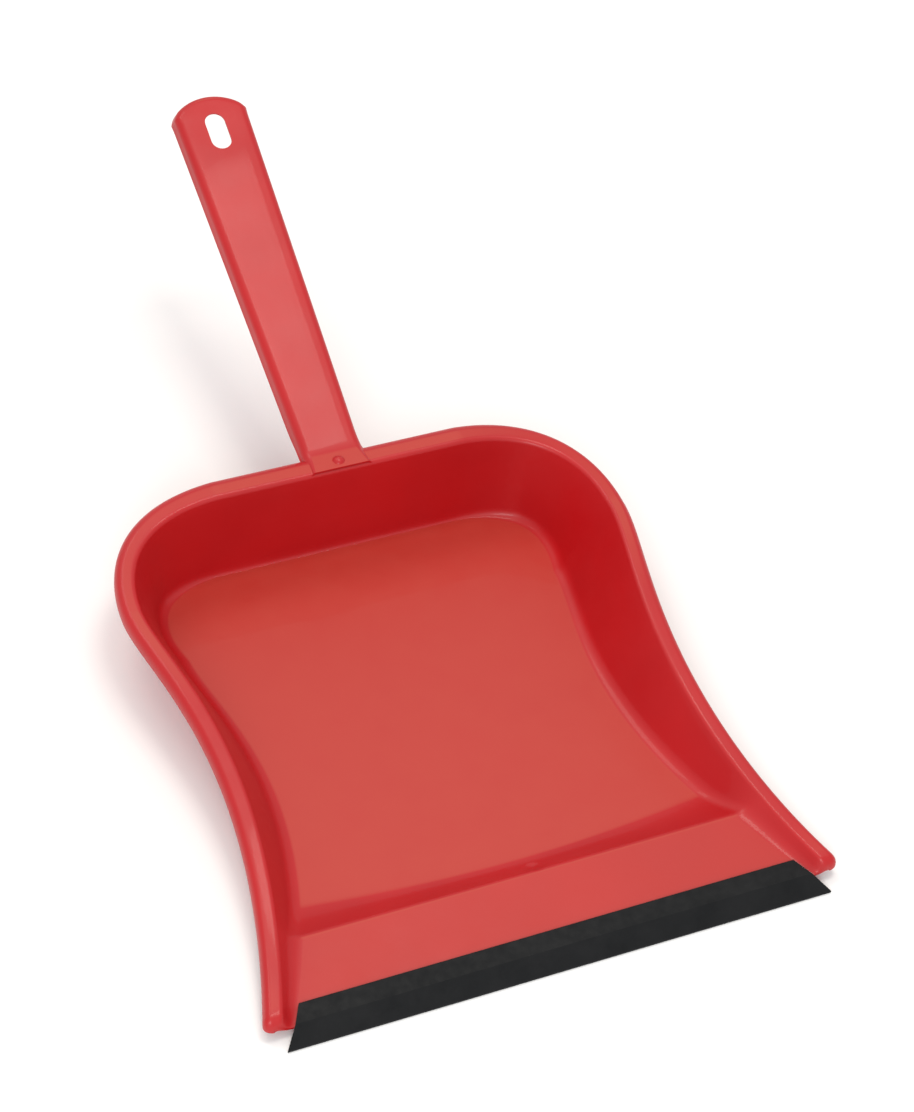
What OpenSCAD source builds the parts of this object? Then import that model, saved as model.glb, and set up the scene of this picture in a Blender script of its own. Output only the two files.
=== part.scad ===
// Metal dustpan. One pressed sheet makes the floor, the walls, the rolled rim and a raised crest
// near the front. A pressed channel handle sits on the back of the rim, held by a rivet, and a
// rubber lip grips the front edge. X runs across, Y runs from the lip to the end of the handle,
// Z is up, and the floor and the lip rest on Z = 0.

/* [Pan] */
// Width across the front ends of the rim
front_w = 227; // [200:1:290]
// Greatest width of the rim, near the back
back_w = 211; // [180:1:280]
// Length from the front edge of the lip to the back edge of the rim
pan_l = 239.5; // [200:1:320]
// Height of the rim at the back
back_h = 43; // [30:1:52]
// Height of the rim where it is widest
wide_h = 35; // [28:1:46]
// Height of the rim at its front ends
front_h = 9; // [8:0.5:13]
// Thickness of the sheet steel
sheet_t = 0.8; // [0.6:0.1:1.2]
// Radius of the soft bend between the floor and the walls
floor_bend = 7; // [4:0.5:10]

/* [Rim] */
// Width of the rolled rim at the back
rim_back_w = 11.5; // [9:0.5:16]
// Width of the rolled rim along the sides
rim_side_w = 8; // [6:0.5:11]
// How far the outer edge of the rim turns down
rim_drop = 4; // [2:0.5:6]
// Straight skirt below the turned edge
rim_skirt = 1.2; // [0.5:0.1:2.5]
// Distance from the back edge of the rim to its widest place
wide_in = 54; // [35:1:70]
// Radius that rounds the front ends of the rim
rim_end_r = 4; // [2:0.5:6]

/* [Crest] */
// Distance from the front edge of the lip to the top of the crest
crest_y = 41; // [34:1:60]
// Height of the crest above the floor
crest_h = 6.3; // [3:0.1:7]
// Length of the slope behind the crest, in the middle
crest_run = 12; // [9:1:18]
// Length of the slope behind the crest, level with the front ends of the rim
crest_side_run = 26; // [12:1:32]
// Distance of the dimple to the right of the middle
dimple_x = 6; // [-20:1:20]
// Diameter of the round dimple in the slope behind the crest
dimple_d = 8; // [5:0.5:10]
// Depth of the dimple
dimple_depth = 0.9; // [0.4:0.1:1.5]

/* [Rubber lip] */
// Width of the lip along its front edge
lip_w = 216; // [180:1:270]
// Length of the lip from front to back
lip_l = 15; // [12:0.5:20]
// Length of the flexible blade in front of the sheet
blade_l = 7; // [5:0.5:9]
// Rubber above and below the sheet at the back of the lip
lip_wall = 1.6; // [1:0.1:2.5]
// Thickness of the blade at its front edge
blade_tip = 0.8; // [0.5:0.1:1.5]
// Clearance between each end of the lip and the foot of the wall beside it
lip_end_gap = 0.3; // [0.1:0.1:1]
// Clearance above and below the sheet in the groove
groove_gap = 0.05; // [0:0.01:0.1]

/* [Handle] */
// Length of the handle along its slope, from the back edge of the rim
handle_l = 165.5; // [120:1:220]
// Rise of the handle above the horizontal
handle_angle = 22.5; // [8:1:32]
// Width of the handle at the rim
handle_root_w = 24.5; // [16:0.5:28]
// Width of the handle at its end
handle_end_w = 32; // [20:0.5:36]
// Depth of the channel
handle_depth = 6.5; // [6:0.5:14]
// Radius of the long edges of the channel
handle_edge_r = 3.5; // [2:0.5:5]
// How far the end of the handle bulges
handle_bulge = 5; // [3:0.5:8]
// Length of the hanging slot
slot_l = 17; // [10:0.5:24]
// Width of the hanging slot
slot_w = 8.6; // [5:0.5:12]
// Distance from the end of the handle to the middle of the slot
slot_in = 18; // [14:0.5:26]

/* [Rivet] */
// Diameter of the rivet's shank
rivet_d = 3.2; // [2.5:0.1:4]
// Diameter of the rivet's heads
rivet_head_d = 5; // [4.5:0.1:6]
// Height of each rivet head
rivet_head_h = 1.3; // [0.8:0.1:2]
// Clearance round the shank in its holes
rivet_gap = 0.1; // [0.05:0.05:0.3]

/* [Hidden] */
$fn = 48;
red = [0.72, 0.06, 0.07];
rubber = [0.12, 0.12, 0.13];

// ---- shared curves ----

// A value part of the way from a to b
function mix(a, b, u) = a + (b - a) * u;
// A cubic curve through p[0] and p[3], pulled towards p[1] and p[2]
function cubic(p, t) =
    p[0] * pow(1 - t, 3) + 3 * p[1] * t * pow(1 - t, 2) + 3 * p[2] * t * t * (1 - t) + p[3] * pow(t, 3);
// Its direction at t
function cubic_slope(p, t) =
    3 * ((p[1] - p[0]) * pow(1 - t, 2) + 2 * (p[2] - p[1]) * t * (1 - t) + (p[3] - p[2]) * t * t);
function unit(v) = v / norm(v);
// The t at which a curve that falls in Y reaches y
function t_at(p, y, low = 0, high = 1, tries = 22) =
    let (middle = (low + high) / 2)
    tries == 0 ? middle
    : cubic(p, middle)[1] > y ? t_at(p, y, middle, high, tries - 1)
    : t_at(p, y, low, middle, tries - 1);
// A rise from 0 to 1 that starts with the given slope and ends level
function ease(u, slope) = slope * (pow(u, 3) - 2 * u * u + u) + 3 * u * u - 2 * pow(u, 3);
// The points of a bent line moved sideways by d, to the right of its direction
function beside(line, d) =
    [for (i = [0:len(line) - 1])
        let (a = line[max(i - 1, 0)], b = line[min(i + 1, len(line) - 1)], v = unit(b - a))
        line[i] + d * [v[1], -v[0]]];
function flatten(rows) = [for (row = rows) for (item = row) item];

// A closed sheet from its two faces. Each face is a patch of rows and columns, with a strip that
// starts on the patch's right column, goes round behind its last row and comes back down its left
// column. The first face is the upper one.
module sheet(patch_a, strip_a, patch_b, strip_b) {
    rows = len(patch_a);
    cols = len(patch_a[0]);
    stations = len(strip_a);
    depth = len(strip_a[0]);
    face_points = rows * cols + stations * depth;
    function on_patch(i, j) = i * cols + j;
    function on_edge(k) =
        k < rows ? on_patch(k, cols - 1)
        : k < rows + cols - 2 ? on_patch(rows - 1, cols - 2 - (k - rows))
        : on_patch(stations - 1 - k, 0);
    function on_strip(k, p) = p == 0 ? on_edge(k) : rows * cols + k * depth + p - 1;
    upper = concat(
        [for (i = [0:rows - 2]) for (j = [0:cols - 2])
            [on_patch(i, j), on_patch(i, j + 1), on_patch(i + 1, j + 1), on_patch(i + 1, j)]],
        [for (k = [0:stations - 2]) for (p = [0:depth - 1])
            [on_strip(k, p), on_strip(k, p + 1), on_strip(k + 1, p + 1), on_strip(k + 1, p)]]);
    border = concat(
        [for (j = [0:cols - 2]) [on_patch(0, j), on_patch(0, j + 1)]],
        [for (p = [0:depth - 1]) [on_strip(0, p), on_strip(0, p + 1)]],
        [for (k = [0:stations - 2]) [on_strip(k, depth), on_strip(k + 1, depth)]],
        [for (p = [0:depth - 1]) [on_strip(stations - 1, p + 1), on_strip(stations - 1, p)]]);
    function turned(q) = [q[3], q[2], q[1], q[0]];
    quads = concat(
        [for (q = upper) turned(q)],
        [for (q = upper) q + [1, 1, 1, 1] * face_points],
        [for (e = border) [e[0], e[1], e[1] + face_points, e[0] + face_points]]);
    polyhedron(
        points = concat(flatten(patch_a), flatten(strip_a), flatten(patch_b), flatten(strip_b)),
        faces = [for (q = quads) for (half = [[q[0], q[1], q[2]], [q[0], q[2], q[3]]]) half],
        convexity = 8);
}

// ---- pan ----

sheet_front = blade_l;                 // where the sheet ends inside the lip
front_z = lip_wall + 1.2;              // underside of the sheet at its front edge
rim_flat = 52;                         // half of the rim's straight length at the back
wide_y = pan_l - wide_in;              // where the rim is widest
flare = 20.5;                          // angle of the rim's front ends from the Y axis
corner_fill = 0.62;                    // how square the back corners are, from 0 to 1
side_pull = 29;                        // how long the rim stays wide in front of its widest place
flare_pull = 106;                      // how long the rim keeps the angle of its front ends
spread_back = 14;                      // from the foot of the wall to the outer edge of the rim
spread_corner = 18;
spread_wide = 28;
spread_rear = 28.5;
spread_waist = 29.5;
spread_front = 12;
rim_end_dip = 1;                       // how far the ends of the rim bend down as they round off
front_rise = 0.65;                     // how steeply the rim starts to rise from its front ends
crown_r = 2;                           // radius of the bend from the wall into the rim
rim_land = 0.35;                       // share of the rim's width that is level
toe_l = floor_bend * 0.6;
crest_slope = 1.5;                     // how steeply the floor falls behind the crest
ramp_step = 8;
crest_steps = 14;
side_step = 10;
corner_steps = 14;
bend_steps = 4;
crown_steps = 3;
edge_steps = 5;

// Outer edge of the rim on the right: round the back corner, then along the side to the front
rim_corner = [
    [rim_flat, pan_l],
    [mix(rim_flat, back_w / 2, corner_fill), pan_l],
    [back_w / 2, mix(wide_y, pan_l, corner_fill)],
    [back_w / 2, wide_y]];
front_end = [front_w / 2 + rim_end_r * tan(flare), sheet_front];
rim_side = [
    [back_w / 2, wide_y],
    [back_w / 2, wide_y - side_pull],
    front_end + flare_pull * [-sin(flare), cos(flare)],
    front_end];

// Height of the underside of the floor: flat, then up the slope to the crest, then down the ramp
function floor_z(x, y) =
    let (run = mix(crest_run, crest_side_run, pow(2 * x / front_w, 2)))
    y >= crest_y + run ? 0
    : y >= crest_y ? crest_h * (1 - ease((y - crest_y) / run, crest_slope))
    : mix(front_z, crest_h, (y - sheet_front) / (crest_y - sheet_front));
dimple_y = crest_y + crest_run * 0.3;
// Depth of the dimple at a point of the floor
function dimple(x, y) =
    let (r = norm([x - dimple_x, y - dimple_y]) / (dimple_d / 2))
    r < 1 ? dimple_depth * pow(1 - r * r, 1.5) : 0;

// A station of the wall: foot, outward direction, spread, rim height, rim width
function side_station(y) =
    let (
        t = t_at(rim_side, y),
        from_end = min((y - sheet_front) / rim_end_r, 1),
        rounding = rim_end_r * (1 - sqrt(1 - pow(1 - from_end, 2))),
        spread = cubic([spread_wide, spread_rear, spread_waist, spread_front], t),
        rise = ease((y - sheet_front) / (wide_y - sheet_front), front_rise))
    [[cubic(rim_side, t)[0] - spread, y], [1, 0], spread - rounding,
        mix(front_h, wide_h, rise) - rounding * rim_end_dip, rim_side_w - rounding];
function corner_station(u) =
    let (
        slope = unit(cubic_slope(rim_corner, u)),
        out = [-slope[1], slope[0]],
        spread = mix(mix(spread_back, spread_corner, u), mix(spread_corner, spread_wide, u), u))
    [cubic(rim_corner, u) - out * spread, out, spread, mix(back_h, wide_h, u),
        mix(rim_back_w, rim_side_w, ease(u, 1))];
function back_station(x) = [[x, pan_l - spread_back], [0, 1], spread_back, back_h, rim_back_w];

right_side = concat(
    [for (a = [0:30:60]) side_station(sheet_front + rim_end_r * (1 - cos(a)))],
    [for (y = [sheet_front + rim_end_r:ramp_step:crest_y - ramp_step / 2]) side_station(y)],
    [for (i = [-1:crest_steps]) side_station(crest_y + crest_side_run * i / crest_steps)],
    [for (y = [crest_y + crest_side_run + side_step:side_step:wide_y - side_step / 2])
        side_station(y)],
    [for (i = [0:corner_steps - 1]) corner_station(1 - i / corner_steps)],
    [back_station(rim_flat)]);

// X of each column of the floor, for a row of half-width w
dimple_cols = [for (i = [-4:4]) dimple_x + i / 8 * dimple_d];
function columns(w) = concat([-w, -w * 0.65, -w * 0.32], dimple_cols, [w * 0.32, w * 0.65, w]);

function mirrored(s) = [[-s[0][0], s[0][1]], [-s[1][0], s[1][1]], s[2], s[3], s[4]];
back_columns = columns(rim_flat);
wall_stations = concat(
    right_side,
    [for (j = [len(back_columns) - 2:-1:1]) back_station(back_columns[j])],
    [for (i = [len(right_side) - 1:-1:0]) mirrored(right_side[i])]);

// Outline of the upper face across the wall and the rim, as distance from the foot and height:
// a soft toe, the leaning wall, a tight bend into the crown, a quarter ellipse and the skirt
// The roll flattens out where the rim narrows at its front ends, which closes them
function wall_line(s) =
    let (
        z = floor_z(s[0][0], s[0][1]) + sheet_t,
        roll = pow(min(1, s[4] / rim_side_w), 2),
        drop = rim_drop * roll,
        crown = [s[2] - s[4] + crown_r, s[3]],
        edge = crown + [s[4] * rim_land, 0],
        toe = [min(toe_l, (crown[0] - crown_r) / 2), z],
        d = crown - [0, crown_r] - toe,
        lean = acos(crown_r / norm(d)) - atan2(d[1], d[0]),
        up = [sin(lean), cos(lean)],
        bend = min(toe_l, norm(d) / 2))
    concat(
        [for (i = [1:bend_steps])
            let (t = i / bend_steps)
            [0, z] * pow(1 - t, 2) + 2 * toe * t * (1 - t) + (toe + up * bend) * t * t],
        [for (i = [0:crown_steps])
            let (a = mix(lean, 90, i / crown_steps))
            crown + crown_r * [-cos(a), sin(a) - 1]],
        [for (i = [0:edge_steps])
            let (a = 90 * i / edge_steps)
            edge + [(s[2] - edge[0]) * sin(a), drop * (cos(a) - 1)]],
        [[s[2], s[3] - drop - rim_skirt * roll]]);
// The wall line of a station with its foot, moved to one face of the sheet
function wall_face(s, d) =
    let (line = beside(concat([[0, floor_z(s[0][0], s[0][1]) + sheet_t]], wall_line(s)), d))
    [for (i = [1:len(line) - 1])
        let (flat = s[0] + s[1] * line[i][0])
        [flat[0], flat[1], line[i][1]]];
function floor_face(lift) =
    [for (s = right_side)
        let (y = s[0][1])
        [for (x = columns(s[0][0])) [x, y, floor_z(x, y) + lift - dimple(x, y)]]];

// ---- handle ----

tongue_l = 7.5;                        // flat tongue that lies on the rim
tongue_bend = 14;                      // radius of the bend between the tongue and the slope
root_flare = 2.5;                      // how much each side widens at the rim
flare_l = 18;
flare_steps = 9;
handle_step = 20;
bulge_steps = 8;
end_flat = 0.12;                       // share of the bulge that is left as the last row
draft = 0.6;                           // how far the side of the channel leans out
tongue_depth = 1.2;                    // depth of the channel at the tip of the tongue
crown_z = back_h;                      // highest line of the rim, under the tongue
tongue_y = pan_l - rim_back_w + 0.5;
bend_l = tongue_bend * handle_angle * PI / 180;
handle_path_l = tongue_l + bend_l + handle_l;

// Place and direction of the middle of the handle's upper face at a distance s along it
function handle_at(s) =
    s <= tongue_l ? [[tongue_y + s, crown_z + sheet_t], 0]
    : s <= tongue_l + bend_l ?
        let (a = (s - tongue_l) / tongue_bend * 180 / PI)
        [[tongue_y + tongue_l + tongue_bend * sin(a), crown_z + sheet_t + tongue_bend * (1 - cos(a))], a]
    : let (start = handle_at(tongue_l + bend_l)[0])
        [start + (s - tongue_l - bend_l) * [cos(handle_angle), sin(handle_angle)], handle_angle];
// A point of the handle: x, distance along it, and height above the middle of its upper face
function on_handle(x, s, h) =
    let (place = handle_at(s))
    [x, place[0][0] - h * sin(place[1]), place[0][1] + h * cos(place[1])];

end_chord = handle_end_w / 2 - handle_edge_r;
end_r = (pow(end_chord, 2) + pow(handle_bulge, 2)) / (2 * handle_bulge);
bulge_s = handle_path_l - handle_edge_r - handle_bulge;
// Half-width of the flat top at a distance s along the handle, up to the bulge
function handle_half(s) =
    mix(handle_root_w, handle_end_w, s / handle_path_l) / 2 - handle_edge_r
    + root_flare * pow(max(1 - s / flare_l, 0), 2);
bulge_angle = asin(end_chord / end_r);
// Stations along the handle's right edge: half-width, distance along it, outward direction
handle_side = concat(
    [for (i = [0:flare_steps])
        let (s = flare_l * i / flare_steps)
        [handle_half(s), s, [1, 0]]],
    [for (s = [flare_l + handle_step:handle_step:bulge_s - handle_step / 2]) [handle_half(s), s, [1, 0]]],
    [for (i = [0:bulge_steps])
        let (a = bulge_angle * mix(1, end_flat, i / bulge_steps))
        [end_r * sin(a), bulge_s + handle_bulge - end_r * (1 - cos(a)),
            i == 0 ? unit([1, sin(a)]) : [sin(a), cos(a)]]]);
function handle_columns(w) = [-w, -w / 2, 0, w / 2, w];
handle_last = handle_side[len(handle_side) - 1];
handle_stations = concat(
    handle_side,
    [for (x = [1, 0, -1] * handle_last[0] / 2) [x, handle_last[1], [0, 1]]],
    [for (i = [len(handle_side) - 1:-1:0])
        [-handle_side[i][0], handle_side[i][1], [-handle_side[i][2][0], handle_side[i][2][1]]]]);
// Depth of the channel at a distance s along the handle
function channel_depth(s) = mix(tongue_depth, handle_depth, ease(min(s / (tongue_l + flare_l), 1), 1));
// Outline of the upper face across the side of the channel
function channel_line(s) =
    let (depth = channel_depth(s), r = min(handle_edge_r, depth * 0.9))
    concat(
        [for (i = [0:edge_steps])
            let (a = 90 * i / edge_steps)
            r * [sin(a), cos(a) - 1]],
        [[r + draft, -depth]]);
function channel_face(q, d) =
    let (line = beside(channel_line(q[1]), d))
    [for (i = [1:len(line) - 1])
        on_handle(q[0] + q[2][0] * line[i][0], q[1] + q[2][1] * line[i][0], line[i][1])];
function top_face(lift) =
    [for (q = handle_side) [for (x = handle_columns(q[0])) on_handle(x, q[1], lift)]];

overall_l = on_handle(0, handle_path_l + draft, -handle_depth)[1];
rivet_y = pan_l - rim_back_w + crown_r + rivet_head_d / 2;

// ---- lip ----

lip_round = 0.6;                       // small slope along the back of the lip
// Right end of the lip, from above: slanted in front of the sheet, then beside the wall
lip_end = concat(
    [[lip_w / 2, 0]],
    [for (y = [sheet_front, lip_l]) [side_station(y)[0][0] - lip_end_gap, y]]);

// Underside, front, top and groove of the lip, as a closed outline in Y and Z
function lip_outline() =
    let (back_z = floor_z(0, lip_l), top = sheet_t + lip_wall)
    [
        [0, 0],
        [sheet_front, 0],
        [lip_l, back_z - lip_wall],
        [lip_l, back_z - groove_gap],
        [sheet_front, front_z - groove_gap],
        [sheet_front, front_z + sheet_t + groove_gap],
        [lip_l, back_z + sheet_t + groove_gap],
        [lip_l, back_z + top - lip_round],
        [lip_l - lip_round, floor_z(0, lip_l - lip_round) + top],
        [sheet_front, front_z + top],
        [0, blade_tip]];

// ---- sub-parts ----

module pan() {
    color(red)
        in_place()
            difference() {
                sheet(
                    floor_face(sheet_t), [for (s = wall_stations) wall_face(s, 0)],
                    floor_face(0), [for (s = wall_stations) wall_face(s, sheet_t)]);
                rivet_hole();
            }
}

module handle() {
    color(red)
        in_place()
            difference() {
                sheet(
                    top_face(0), [for (q = handle_stations) channel_face(q, 0)],
                    top_face(-sheet_t), [for (q = handle_stations) channel_face(q, sheet_t)]);
                rim_bar();
                hanging_slot();
                rivet_hole();
            }
}

module rubber_lip() {
    color(rubber)
        in_place()
            intersection() {
                rotate([90, 0, 90])
                    linear_extrude(lip_w, center = true)
                        polygon(lip_outline());
                linear_extrude(front_z + crest_h)
                    polygon(concat(lip_end, [for (i = [2:-1:0]) [-lip_end[i][0], lip_end[i][1]]]));
            }
}

module handle_rivet() {
    color(red)
        in_place()
            translate([0, rivet_y, 0]) {
                translate([0, 0, crown_z - 1.5 * sheet_t])
                    cylinder(d = rivet_d, h = 3 * sheet_t);
                rivet_head(crown_z + sheet_t, 1);
                rivet_head(crown_z - sheet_t - rivet_gap, -1);
            }
}

// Puts the middle of the whole dustpan's length on the origin
module in_place() {
    translate([0, -overall_l / 2, 0]) children();
}

// The space that the straight back of the rim fills, as a bar across X
module rim_bar() {
    line = wall_line(back_station(0));
    outer = line[len(line) - 1];
    translate([0, pan_l - spread_back, 0])
        rotate([90, 0, 90])
            linear_extrude(2 * rim_flat, center = true)
                polygon(concat(line, [[line[0][0], outer[1]]]));
}

module hanging_slot() {
    middle = handle_at(handle_path_l - slot_in)[0];
    translate([0, middle[0], middle[1]])
        rotate([handle_angle, 0, 0])
            linear_extrude(6 * sheet_t, center = true)
                union() {
                    square([slot_w, slot_l - slot_w], center = true);
                    for (side = [-1, 1])
                        translate([0, side * (slot_l - slot_w) / 2])
                            circle(d = slot_w);
                }
}

module rivet_hole() {
    translate([0, rivet_y, crown_z - 3 * sheet_t])
        cylinder(d = rivet_d + 2 * rivet_gap, h = 6 * sheet_t);
}

// A domed head that stands on the plane z, above it or below it
module rivet_head(z, way) {
    dome_r = (pow(rivet_head_d / 2, 2) + pow(rivet_head_h, 2)) / (2 * rivet_head_h);
    translate([0, 0, z])
        mirror([0, 0, way > 0 ? 0 : 1])
            intersection() {
                translate([0, 0, rivet_head_h - dome_r])
                    sphere(dome_r);
                cylinder(d = rivet_head_d, h = rivet_head_h);
            }
}

pan();
handle();
rubber_lip();
handle_rivet();
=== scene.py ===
import math

import bmesh
import bpy
from mathutils import Matrix, Vector


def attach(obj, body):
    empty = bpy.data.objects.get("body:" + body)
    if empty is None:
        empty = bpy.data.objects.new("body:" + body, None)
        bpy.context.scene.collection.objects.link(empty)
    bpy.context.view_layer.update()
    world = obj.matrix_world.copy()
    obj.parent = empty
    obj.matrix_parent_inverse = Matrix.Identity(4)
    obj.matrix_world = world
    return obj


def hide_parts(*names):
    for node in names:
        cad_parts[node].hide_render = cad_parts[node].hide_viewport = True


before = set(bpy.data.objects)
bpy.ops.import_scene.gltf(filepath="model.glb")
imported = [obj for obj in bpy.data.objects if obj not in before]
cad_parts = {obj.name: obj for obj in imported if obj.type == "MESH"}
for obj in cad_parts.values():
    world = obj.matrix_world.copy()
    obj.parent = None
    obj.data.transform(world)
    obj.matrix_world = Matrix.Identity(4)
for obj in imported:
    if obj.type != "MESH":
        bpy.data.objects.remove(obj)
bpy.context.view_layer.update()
MM = 0.001

# Driving sizes, in millimetres, as in the CAD. Y runs from the front edge of the lip here, and
# in_frame() moves it to the shared frame.
FRONT_W, BACK_W, PAN_L = 227, 211, 239.5
BACK_H, WIDE_H, FRONT_H = 43, 35, 9
SHEET = 0.8
TOE = 4.2
RIM_BACK, RIM_SIDE, RIM_DROP, RIM_SKIRT, RIM_END, END_DIP = 11.5, 8, 4, 1.2, 4, 1.0
SPREADS = (28, 28.5, 29.5, 12)
SPREAD_BACK, SPREAD_CORNER = 14, 18
WIDE_Y = PAN_L - 54
CREST_Y, CREST_H, CREST_RUN, CREST_SIDE_RUN, CREST_SLOPE = 41, 6.3, 12, 26, 1.5
CREST_BEND = 1.0  # reach of the rounding on each side of the crest
DIMPLE_X, DIMPLE_D, DIMPLE_DEPTH = 6, 8, 0.9
BLADE_L, LIP_WALL = 7, 1.6
FRONT_Z = LIP_WALL + 1.2
CROWN_R, RIM_LAND = 2, 0.35
HANDLE_L, HANDLE_TILT = 165.5, math.radians(22.5)
ROOT_W, END_W, DEPTH, EDGE_R, BULGE = 24.5, 32, 6.5, 3.5, 5
SLOT_L, SLOT_W, SLOT_IN = 17, 8.6, 18
TONGUE_L, TONGUE_BEND, ROOT_FLARE, FLARE_L, TONGUE_DEPTH, DRAFT = 7.5, 14, 2.5, 18, 1.2, 0.6
RIM_FLAT = 52
FRONT_RISE = 0.65
FLARE = math.radians(20.5)
CORNER_FILL, SIDE_PULL, FLARE_PULL = 0.62, 29, 106


# ---- curves ----


def mix(a, b, u):
    return a + (b - a) * u


def ease(u, slope):
    return slope * (u**3 - 2 * u * u + u) + 3 * u * u - 2 * u**3


def cubic(p, t):
    s = 1 - t
    return tuple(
        a * s**3 + 3 * b * t * s * s + 3 * c * t * t * s + d * t**3 for a, b, c, d in zip(*p)
    )


def spaced(low, high, step):
    """Values from low to high, about step apart, with both ends."""
    n = max(1, round((high - low) / step))
    return [mix(low, high, i / n) for i in range(n + 1)]


CORNER = [
    (RIM_FLAT, PAN_L),
    (mix(RIM_FLAT, BACK_W / 2, CORNER_FILL), PAN_L),
    (BACK_W / 2, mix(WIDE_Y, PAN_L, CORNER_FILL)),
    (BACK_W / 2, WIDE_Y),
]
END_X = FRONT_W / 2 + RIM_END * math.tan(FLARE)
SIDE = [
    (BACK_W / 2, WIDE_Y),
    (BACK_W / 2, WIDE_Y - SIDE_PULL),
    (END_X - FLARE_PULL * math.sin(FLARE), BLADE_L + FLARE_PULL * math.cos(FLARE)),
    (END_X, BLADE_L),
]


def sharp_floor(x, y):
    run = mix(CREST_RUN, CREST_SIDE_RUN, (2 * x / FRONT_W) ** 2)
    if y >= CREST_Y + run:
        return 0
    if y >= CREST_Y:
        return CREST_H * (1 - ease((y - CREST_Y) / run, CREST_SLOPE))
    return mix(FRONT_Z, CREST_H, (y - BLADE_L) / (CREST_Y - BLADE_L))


def floor_z(x, y):
    """The floor's height, with the crest bent to the small radius that pressing gives."""
    steps = range(-4, 5)
    return sum(sharp_floor(x, max(y + CREST_BEND * k / 4, BLADE_L)) for k in steps) / len(steps)


def dimple(x, y):
    r = math.hypot(x - DIMPLE_X, y - CREST_Y - CREST_RUN * 0.3) / (DIMPLE_D / 2)
    return DIMPLE_DEPTH * (1 - r * r) ** 1.5 if r < 1 else 0


# ---- the pan's wall ----


def side_station(y):
    low, high = 0, 1
    for _ in range(30):
        t = (low + high) / 2
        if cubic(SIDE, t)[1] > y:
            low = t
        else:
            high = t
    from_end = min((y - BLADE_L) / RIM_END, 1)
    rounding = RIM_END * (1 - math.sqrt(1 - (1 - from_end) ** 2))
    spread = cubic([(k,) for k in SPREADS], t)[0]
    rise = ease((y - BLADE_L) / (WIDE_Y - BLADE_L), FRONT_RISE)
    foot = (cubic(SIDE, t)[0] - spread, y)
    high = mix(FRONT_H, WIDE_H, rise) - rounding * END_DIP
    return foot, (1, 0), spread - rounding, high, RIM_SIDE - rounding


def corner_station(u):
    here, there = cubic(CORNER, u), cubic(CORNER, u + 1e-4 if u < 0.5 else u - 1e-4)
    d = Vector((there[0] - here[0], there[1] - here[1])).normalized() * (1 if u < 0.5 else -1)
    out = (-d.y, d.x)
    spread = mix(mix(SPREAD_BACK, SPREAD_CORNER, u), mix(SPREAD_CORNER, SPREADS[0], u), u)
    foot = (here[0] - out[0] * spread, here[1] - out[1] * spread)
    return foot, out, spread, mix(BACK_H, WIDE_H, u), mix(RIM_BACK, RIM_SIDE, ease(u, 1))


def back_station(x):
    return (x, PAN_L - SPREAD_BACK), (0, 1), SPREAD_BACK, BACK_H, RIM_BACK


def wall_line(s):
    foot, _, spread, high, width = s
    z = floor_z(*foot) + SHEET
    # The roll flattens out where the rim narrows at its front ends, which rounds them off.
    roll = min(1, width / RIM_SIDE) ** 2
    drop = RIM_DROP * roll
    crown = (spread - width + CROWN_R, high)
    edge = (crown[0] + width * RIM_LAND, high)
    toe = (min(TOE, (crown[0] - CROWN_R) / 2), z)
    dx, dy = crown[0] - toe[0], crown[1] - CROWN_R - toe[1]
    long = math.hypot(dx, dy)
    lean = math.acos(CROWN_R / long) - math.atan2(dy, dx)
    up = (math.sin(lean), math.cos(lean))
    bend = min(TOE, long / 2)
    top = (toe[0] + up[0] * bend, toe[1] + up[1] * bend)
    line = []
    for i in range(11):
        t = i / 10
        line.append(
            (2 * toe[0] * t * (1 - t) + top[0] * t * t, z * (1 - t * t) + top[1] * t * t)
        )
    start = (crown[0] - CROWN_R * math.cos(lean), crown[1] + CROWN_R * (math.sin(lean) - 1))
    line += [(mix(top[0], start[0], i / 6), mix(top[1], start[1], i / 6)) for i in range(1, 6)]
    for i in range(9):
        a = mix(lean, math.pi / 2, i / 8)
        line.append((crown[0] - CROWN_R * math.cos(a), crown[1] + CROWN_R * (math.sin(a) - 1)))
    line += [(mix(crown[0], edge[0], i / 3), high) for i in range(1, 3)]
    for i in range(13):
        a = math.pi / 2 * i / 12
        line.append((edge[0] + (spread - edge[0]) * math.sin(a), high + drop * (math.cos(a) - 1)))
    line.append((spread, high - drop - RIM_SKIRT * roll))
    return line


def beside(line, d):
    """The points of a line moved sideways by d, to the right of its direction."""
    moved = []
    for i, p in enumerate(line):
        a, b = line[max(i - 1, 0)], line[min(i + 1, len(line) - 1)]
        v = Vector((b[0] - a[0], b[1] - a[1])).normalized()
        moved.append((p[0] + d * v.y, p[1] - d * v.x))
    return moved


# ---- meshes ----


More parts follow.
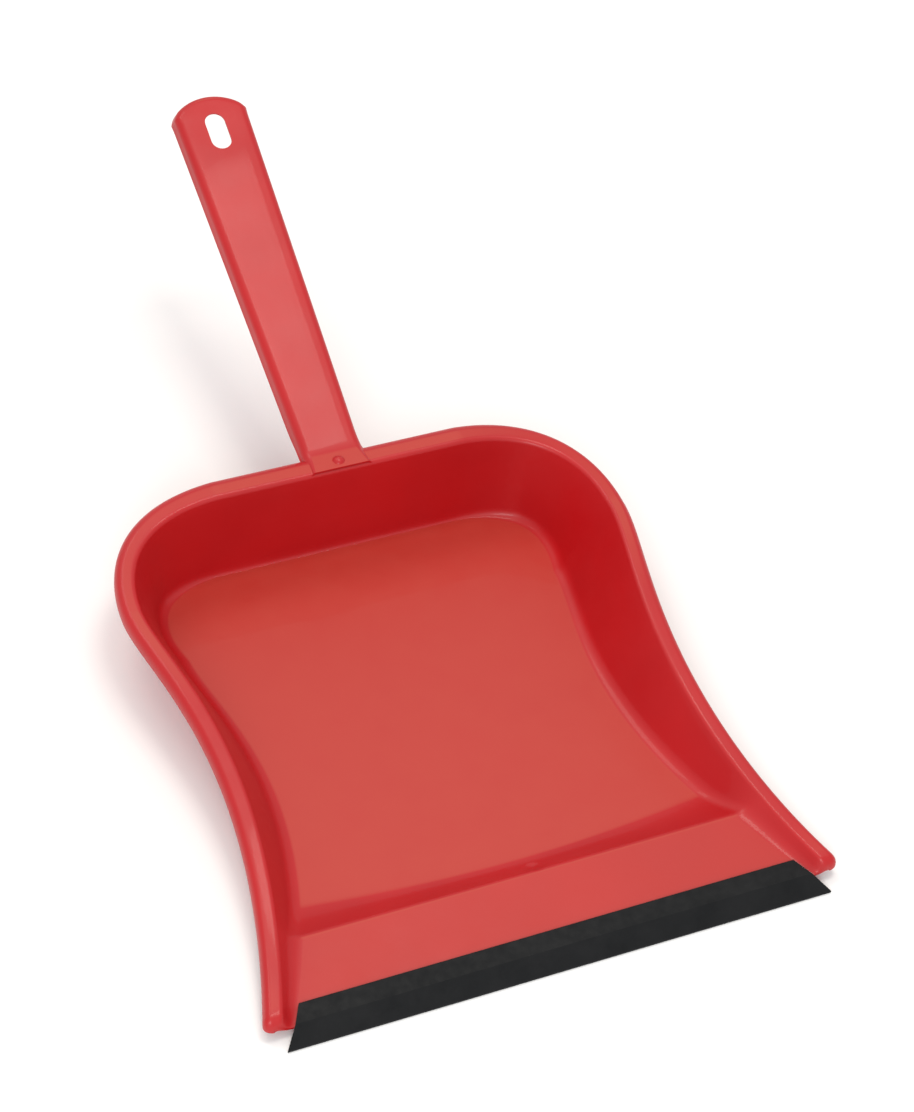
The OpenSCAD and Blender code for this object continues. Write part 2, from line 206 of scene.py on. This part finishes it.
def shell(name, patch_a, strip_a, patch_b, strip_b):
    """A closed sheet from its two faces: each a patch and a strip that runs round the patch."""
    rows, cols = len(patch_a), len(patch_a[0])
    stations, depth = len(strip_a), len(strip_a[0])

    def on_strip(k, p):
        if p:
            return rows * cols + k * depth + p - 1
        if k < rows:
            return k * cols + cols - 1
        if k < rows + cols - 2:
            return (rows - 1) * cols + cols - 2 - (k - rows)
        return (stations - 1 - k) * cols

    upper = [
        (i * cols + j, i * cols + j + 1, (i + 1) * cols + j + 1, (i + 1) * cols + j)
        for i in range(rows - 1)
        for j in range(cols - 1)
    ]
    upper += [
        (on_strip(k, p), on_strip(k, p + 1), on_strip(k + 1, p + 1), on_strip(k + 1, p))
        for k in range(stations - 1)
        for p in range(depth)
    ]
    border = [(j, j + 1) for j in range(cols - 1)]
    border += [(on_strip(0, p), on_strip(0, p + 1)) for p in range(depth)]
    border += [(on_strip(k, depth), on_strip(k + 1, depth)) for k in range(stations - 1)]
    border += [(on_strip(stations - 1, p + 1), on_strip(stations - 1, p)) for p in range(depth)]
    face = rows * cols + stations * depth
    faces = upper + [tuple(i + face for i in reversed(q)) for q in upper]
    faces += [(b, a, a + face, b + face) for a, b in border]
    points = [q for rows_ in (patch_a, strip_a, patch_b, strip_b) for row in rows_ for q in row]
    mesh = bpy.data.meshes.new(name)
    mesh.from_pydata(in_frame(points), [], faces)
    return finish_mesh(name, mesh)


SHARP = math.radians(32)


def finish_mesh(name, mesh):
    mesh.validate()
    bm = bmesh.new()
    bm.from_mesh(mesh)
    bmesh.ops.remove_doubles(bm, verts=bm.verts, dist=1e-7)
    bmesh.ops.recalc_face_normals(bm, faces=bm.faces)
    bm.to_mesh(mesh)
    bm.free()
    mesh.shade_smooth()
    mesh.set_sharp_from_angle(angle=SHARP)
    piece = bpy.data.objects.new(name, mesh)
    bpy.context.scene.collection.objects.link(piece)
    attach(piece, "root")
    return piece


SIDE_COLUMNS = 12  # columns of the floor on each side of the dimple


def pan_piece():
    ys = [BLADE_L + RIM_END * (1 - math.cos(math.radians(a))) for a in range(0, 90, 10)]
    ys += spaced(BLADE_L + RIM_END, CREST_Y - 6, 2.5)
    ys += spaced(CREST_Y - 6, CREST_Y + CREST_SIDE_RUN + 1, 0.5)[1:]
    ys += spaced(CREST_Y + CREST_SIDE_RUN + 1, WIDE_Y, 3)[1:-1]
    right = [side_station(y) for y in ys]
    right += [corner_station(1 - i / 48) for i in range(48)] + [back_station(RIM_FLAT)]
    near = spaced(DIMPLE_X - DIMPLE_D / 2, DIMPLE_X + DIMPLE_D / 2, 0.4)

    def columns(w):
        before = spaced(-w, near[0], (w + near[0]) / SIDE_COLUMNS)[:-1]
        return before + near + spaced(near[-1], w, (w - near[-1]) / SIDE_COLUMNS)[1:]

    across = columns(RIM_FLAT)
    walls = right + [back_station(x) for x in reversed(across[1:-1])]
    walls += [((-s[0][0], s[0][1]), (-s[1][0], s[1][1]), *s[2:]) for s in reversed(right)]

    def wall_face(s, d):
        foot, out = s[0], s[1]
        line = beside(wall_line(s), d)[1:]
        return [(foot[0] + out[0] * o, foot[1] + out[1] * o, z) for o, z in line]

    def floor_face(lift):
        return [
            [
                (x, s[0][1], floor_z(x, s[0][1]) + lift - dimple(x, s[0][1]))
                for x in columns(s[0][0])
            ]
            for s in right
        ]

    return shell(
        "pan_pressing",
        floor_face(SHEET),
        [wall_face(s, 0) for s in walls],
        floor_face(0),
        [wall_face(s, SHEET) for s in walls],
    )


# ---- handle ----

TONGUE_Y = PAN_L - RIM_BACK + 0.5
BEND_L = TONGUE_BEND * HANDLE_TILT
PATH_L = TONGUE_L + BEND_L + HANDLE_L


def handle_at(s):
    """Place and direction of the middle of the handle's upper face at a distance s along it."""
    if s <= TONGUE_L:
        return TONGUE_Y + s, BACK_H + SHEET, 0
    y, z = TONGUE_Y + TONGUE_L, BACK_H + SHEET
    a = min((s - TONGUE_L) / TONGUE_BEND, HANDLE_TILT)
    y, z = y + TONGUE_BEND * math.sin(a), z + TONGUE_BEND * (1 - math.cos(a))
    rest = max(s - TONGUE_L - BEND_L, 0)
    return y + rest * math.cos(HANDLE_TILT), z + rest * math.sin(HANDLE_TILT), a


def on_handle(x, s, h):
    y, z, a = handle_at(s)
    return x, y - h * math.sin(a), z + h * math.cos(a)


OVERALL_L = on_handle(0, PATH_L + DRAFT, -DEPTH)[1]


def in_frame(points):
    return [(x * MM, (y - OVERALL_L / 2) * MM, z * MM) for x, y, z in points]


def handle_piece():
    chord = END_W / 2 - EDGE_R
    end_r = (chord**2 + BULGE**2) / (2 * BULGE)
    bulge_s = PATH_L - EDGE_R - BULGE

    def half(s):
        flare = ROOT_FLARE * max(1 - s / FLARE_L, 0) ** 2
        return mix(ROOT_W, END_W, s / PATH_L) / 2 - EDGE_R + flare

    side = [(half(s), s, (1, 0)) for s in spaced(0, FLARE_L, 0.5)]
    side += [(half(s), s, (1, 0)) for s in spaced(FLARE_L, bulge_s - 3, 3)[1:]]
    widest = math.asin(chord / end_r)
    for i in range(25):
        a = widest * mix(1, 0.05, i / 24)
        turn = ease(min(i / 6, 1), 1)
        n = Vector((mix(1, math.sin(a), turn), mix(0, math.cos(a), turn))).normalized()
        along = bulge_s + BULGE - end_r * (1 - math.cos(a))
        side.append((end_r * math.sin(a), along, (n.x, n.y)))
    shares = [-1, -0.75, -0.5, -0.25, 0, 0.25, 0.5, 0.75, 1]
    last = side[-1]
    walls = side + [(last[0] * k, last[1], (0, 1)) for k in reversed(shares[1:-1])]
    walls += [(-x, s, (-n[0], n[1])) for x, s, n in reversed(side)]

    def depth(s):
        return mix(TONGUE_DEPTH, DEPTH, ease(min(s / (TONGUE_L + FLARE_L), 1), 1))

    def face(q, d):
        r = min(EDGE_R, depth(q[1]) * 0.9)
        line = [
            (r * math.sin(math.pi / 2 * i / 12), r * (math.cos(math.pi / 2 * i / 12) - 1))
            for i in range(13)
        ]
        line.append((r + DRAFT, -depth(q[1])))
        return [
            on_handle(q[0] + q[2][0] * o, q[1] + q[2][1] * o, h) for o, h in beside(line, d)[1:]
        ]

    def top(lift):
        return [[on_handle(w * k, s, lift) for k in shares] for w, s, _ in side]

    return shell(
        "handle_pressing",
        top(0),
        [face(q, 0) for q in walls],
        top(-SHEET),
        [face(q, SHEET) for q in walls],
    )


def cut(piece, points_2d, place, depth):
    """Cuts a prism out of a piece: the outline lies in the XY plane of place."""
    mesh = bpy.data.meshes.new("cutter")
    n = len(points_2d)
    points = [
        place @ Vector((x * MM, y * MM, k * depth * MM)) for k in (-1, 1) for x, y in points_2d
    ]
    faces = [tuple(reversed(range(n))), tuple(range(n, 2 * n))]
    faces += [(i, (i + 1) % n, n + (i + 1) % n, n + i) for i in range(n)]
    mesh.from_pydata(points, [], faces)
    tool = bpy.data.objects.new("cutter", mesh)
    bpy.context.scene.collection.objects.link(tool)
    step = piece.modifiers.new("cut", "BOOLEAN")
    step.object = tool
    step.operation = "DIFFERENCE"
    step.solver = "EXACT"
    bpy.context.view_layer.update()
    done = bpy.data.meshes.new_from_object(
        piece.evaluated_get(bpy.context.evaluated_depsgraph_get())
    )
    piece.modifiers.clear()
    piece.data = done
    bpy.data.objects.remove(tool)
    done.shade_smooth()
    done.set_sharp_from_angle(angle=SHARP)


pan = pan_piece()
handle = handle_piece()
slot_y, slot_z, slot_a = handle_at(PATH_L - SLOT_IN)
slot_place = Matrix.Translation(Vector(in_frame([(0, slot_y, slot_z)])[0]))
slot_place = slot_place @ Matrix.Rotation(slot_a, 4, "X")
slot_outline = [
    (
        SLOT_W / 2 * math.cos(a),
        SLOT_W / 2 * math.sin(a) + math.copysign((SLOT_L - SLOT_W) / 2, math.sin(a)),
    )
    for a in (math.radians(7.5 * i + 3.75) for i in range(48))
]
cut(handle, slot_outline, slot_place, 3)
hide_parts("pan")
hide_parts("handle")


# ---- materials ----


def material(name):
    mat = bpy.data.materials.new(name)
    mat.use_nodes = True
    nodes, links = mat.node_tree.nodes, mat.node_tree.links
    return mat, nodes, links, nodes["Principled BSDF"]


def noise(nodes, links, coords, scale, detail=2.0, rough=0.5):
    n = nodes.new("ShaderNodeTexNoise")
    n.inputs["Scale"].default_value = scale
    n.inputs["Detail"].default_value = detail
    n.inputs["Roughness"].default_value = rough
    links.new(coords, n.inputs["Vector"])
    return n.outputs["Fac"]


def ranged(nodes, links, value, low, high, out_low, out_high):
    n = nodes.new("ShaderNodeMapRange")
    ends = {"From Min": low, "From Max": high, "To Min": out_low, "To Max": out_high}
    for key, number in ends.items():
        n.inputs[key].default_value = number
    links.new(value, n.inputs["Value"])
    return n.outputs["Result"]


def red_paint(name):
    mat, nodes, links, bsdf = material(name)
    where = nodes.new("ShaderNodeTexCoord").outputs["Object"]
    tint = nodes.new("ShaderNodeMix")
    tint.data_type = "RGBA"
    tint.inputs["A"].default_value = (0.445, 0.0012, 0.004, 1)
    tint.inputs["B"].default_value = (0.485, 0.0020, 0.005, 1)
    patches = noise(nodes, links, where, 22, 3)
    links.new(ranged(nodes, links, patches, 0.35, 0.65, 0, 1), tint.inputs["Factor"])
    worn = noise(nodes, links, where, 60, 4, 0.6)
    # A paler tone painted on faces that are nearly level, chosen to match how the floor and the
    # ramp look.
    # It is a painted reflection of the lamps (a painted sheen), varied a little by the noise.
    apart = nodes.new("ShaderNodeSeparateXYZ")
    links.new(nodes.new("ShaderNodeNewGeometry").outputs["Normal"], apart.inputs["Vector"])
    level = ranged(nodes, links, apart.outputs["Z"], 0.990, 0.9995, 0, 1)
    sheen_mask = nodes.new("ShaderNodeMath")
    sheen_mask.operation = "MULTIPLY"
    links.new(level, sheen_mask.inputs[0])
    links.new(ranged(nodes, links, worn, 0.3, 0.7, 0.85, 1), sheen_mask.inputs[1])
    # Painted sheen: the paler red mixed in on level faces stands for a reflection of the lamps.
    painted_sheen = nodes.new("ShaderNodeMix")
    painted_sheen.data_type = "RGBA"
    painted_sheen.inputs["B"].default_value = (0.49, 0.034, 0.021, 1)
    links.new(sheen_mask.outputs["Value"], painted_sheen.inputs["Factor"])
    links.new(tint.outputs["Result"], painted_sheen.inputs["A"])
    links.new(painted_sheen.outputs["Result"], bsdf.inputs["Base Color"])
    links.new(ranged(nodes, links, worn, 0.3, 0.7, 0.44, 0.52), bsdf.inputs["Roughness"])
    peel = nodes.new("ShaderNodeBump")
    peel.inputs["Strength"].default_value = 0.08
    peel.inputs["Distance"].default_value = 0.0003
    links.new(noise(nodes, links, where, 420, 2), peel.inputs["Height"])
    links.new(peel.outputs["Normal"], bsdf.inputs["Normal"])
    bsdf.inputs["IOR"].default_value = 1.5
    bsdf.inputs["Coat Weight"].default_value = 0.14
    bsdf.inputs["Coat Roughness"].default_value = 0.05
    return mat


def black_rubber(name):
    mat, nodes, links, bsdf = material(name)
    where = nodes.new("ShaderNodeTexCoord").outputs["Object"]
    tint = nodes.new("ShaderNodeMix")
    tint.data_type = "RGBA"
    tint.inputs["A"].default_value = (0.0040, 0.0046, 0.0056, 1)
    tint.inputs["B"].default_value = (0.0075, 0.0080, 0.0090, 1)
    patches = noise(nodes, links, where, 90, 4)
    links.new(ranged(nodes, links, patches, 0.35, 0.65, 0, 1), tint.inputs["Factor"])
    links.new(tint.outputs["Result"], bsdf.inputs["Base Color"])
    links.new(
        ranged(nodes, links, noise(nodes, links, where, 300, 3), 0.3, 0.7, 0.5, 0.68),
        bsdf.inputs["Roughness"],
    )
    bsdf.inputs["Specular IOR Level"].default_value = 0.2
    grain = nodes.new("ShaderNodeBump")
    grain.inputs["Strength"].default_value = 0.2
    grain.inputs["Distance"].default_value = 0.0002
    links.new(noise(nodes, links, where, 1500, 2), grain.inputs["Height"])
    links.new(grain.outputs["Normal"], bsdf.inputs["Normal"])
    return mat


paint = red_paint("red_paint_gloss")
rubber = black_rubber("black_rubber_matt")
pan.data.materials.append(paint)
handle.data.materials.clear()
handle.data.materials.append(paint)
for node, mat in (("rubber_lip", rubber), ("handle_rivet", paint)):
    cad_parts[node].data.materials.clear()
    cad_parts[node].data.materials.append(mat)


# ---- floor, light and camera ----


def plain(name, colour, rough=1.0):
    mat, _, _, bsdf = material(name)
    bsdf.inputs["Base Color"].default_value = (*colour, 1)
    bsdf.inputs["Roughness"].default_value = rough
    bsdf.inputs["Specular IOR Level"].default_value = 0
    return mat


floor_mesh = bpy.data.meshes.new("floor")
floor_mesh.from_pydata(
    [(-4, -4, 0), (4, -4, 0), (4, 4, 0), (-4, 4, 0)], [], [(0, 1, 2, 3)]
)
floor = bpy.data.objects.new("floor", floor_mesh)
floor.location.z = -0.0002
bpy.context.scene.collection.objects.link(floor)
floor_mesh.materials.append(plain("pale_floor", (0.95, 0.95, 0.95)))

world = bpy.data.worlds.new("studio")
bpy.context.scene.world = world
world.use_nodes = True
world.node_tree.nodes["Background"].inputs["Color"].default_value = (1, 1, 1, 1)
world.node_tree.nodes["Background"].inputs["Strength"].default_value = 0.72


def softbox(name, place, aim, size, power, colour=(1, 1, 1)):
    light = bpy.data.lights.new(name, "AREA")
    light.shape = "RECTANGLE"
    light.size, light.size_y = size
    light.energy = power
    light.color = colour
    lamp = bpy.data.objects.new(name, light)
    lamp.location = place
    lamp.rotation_euler = (Vector(aim) - Vector(place)).to_track_quat("-Z", "Y").to_euler()
    bpy.context.scene.collection.objects.link(lamp)
    return lamp


WARM = (1, 0.95, 0.86)
softbox("back_key", (-0.25, 0.75, 1.4), (0, 0, 0), (0.7, 0.5), 4, WARM)
overhead = softbox("overhead", (0.23, 0.05, 1.5), (0.25, 0.05, 0), (0.44, 0.5), 5.8, WARM)
overhead.rotation_euler.z += math.radians(7.4)
softbox("front_fill", (-0.6, -1.2, 0.9), (0, 0, 0), (0.6, 0.6), 8)

camera_data = bpy.data.cameras.new("camera")
camera = bpy.data.objects.new("camera", camera_data)
bpy.context.scene.collection.objects.link(camera)
bpy.context.scene.camera = camera
down, turn, tip = math.radians(44.66), math.radians(27.87), math.radians(6.78)
away = 1235.7
ahead = Vector(
    (math.sin(turn) * math.cos(down), math.cos(turn) * math.cos(down), -math.sin(down))
)
across = Vector((math.cos(turn), -math.sin(turn), 0))
above = across.cross(ahead)
right = across * math.cos(tip) + above * math.sin(tip)
up = above * math.cos(tip) - across * math.sin(tip)
target = Vector((44.55, 206.99, 0))
place = (target - ahead * away - Vector((0, OVERALL_L / 2, 0))) * MM
turned = Matrix((right, up, -ahead)).transposed().to_4x4()
camera.matrix_world = Matrix.Translation(place) @ turned
camera_data.sensor_fit = "HORIZONTAL"
camera_data.sensor_width = 36
camera_data.lens = 3030 / 914 * 36
camera_data.clip_end = 50
bpy.context.scene.view_settings.view_transform = "Standard"
